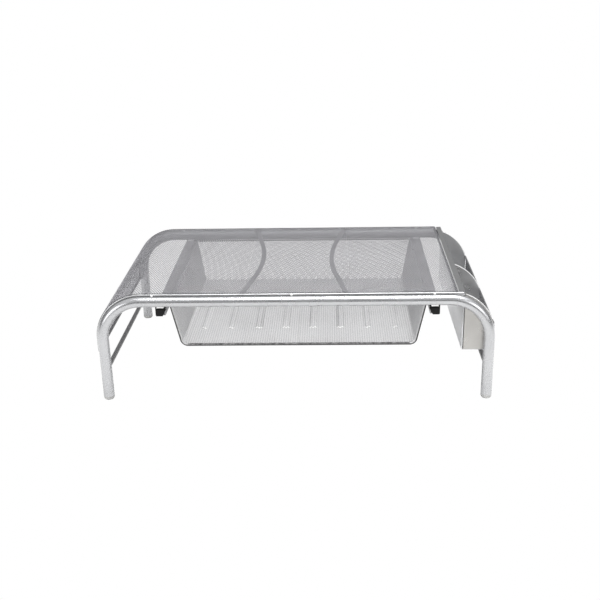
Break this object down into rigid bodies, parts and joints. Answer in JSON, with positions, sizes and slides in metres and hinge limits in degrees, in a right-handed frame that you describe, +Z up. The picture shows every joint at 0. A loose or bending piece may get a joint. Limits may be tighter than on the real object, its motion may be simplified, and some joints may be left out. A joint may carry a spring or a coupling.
{
  "type": "monitor riser stand",
  "caption": "Low silver monitor riser: two bent tube frames under a fine mesh deck, a mesh drawer hanging beneath it, and a two-pocket side bin with a mesh outer wall.",
  "frame": {"origin": "on the table, at the middle of the four feet", "axes": "+X to the right as seen from the open front of the drawer, +Y to the back, +Z up"},
  "size_m": [0.5104, 0.292, 0.1451],
  "materials": {
    "steel": "silver powder coat on tube, wire and strip, satin",
    "mesh": "silver powder coat on expanded steel mesh",
    "sheet": "silver powder coat on sheet steel, satin",
    "runner_metal": "grey powder coat on roll-formed channel",
    "black_plastic": "moulded black, slightly textured",
    "foot_plastic": "moulded grey, soft"
  },
  "bodies": {
    "stand": {"front_frame_tube": "steel", "rear_frame_tube": "steel", "front_left_foot": "foot_plastic", "front_right_foot": "foot_plastic", "rear_left_foot": "foot_plastic", "rear_right_foot": "foot_plastic", "left_brace_rod": "steel", "right_brace_rod": "steel", "front_deck_rim": "steel", "rear_deck_rim": "steel", "left_hem_wire": "steel", "right_deck_wire": "steel", "deck_mesh": "mesh", "left_stiffener": "steel", "right_stiffener": "steel", "deck_weld_beads": "steel", "side_front_rim": "steel", "side_rear_rim": "steel", "side_top_wire": "steel", "side_hem_wire": "steel", "side_mesh": "mesh", "bin_left_wall": "sheet", "bin_floor": "sheet", "bin_front_panel": "sheet", "bin_rear_panel": "sheet", "bin_divider": "sheet", "left_runner": "runner_metal", "right_runner": "runner_metal", "runner_weld_beads": "steel", "left_front_cap": "black_plastic", "right_front_cap": "black_plastic", "left_rear_cap": "black_plastic", "right_rear_cap": "black_plastic"},
    "drawer": {"drawer_tray": "mesh", "drawer_front_hem": "steel", "drawer_back_rim": "steel", "drawer_left_flange": "steel", "drawer_right_flange": "steel", "drawer_stops": "black_plastic"}
  },
  "joints": [
    {"name": "drawer_slide", "type": "slide", "parent": "stand", "child": "drawer", "axis": [0, -1, 0], "range_m": [0, 0.184]}
  ]
}
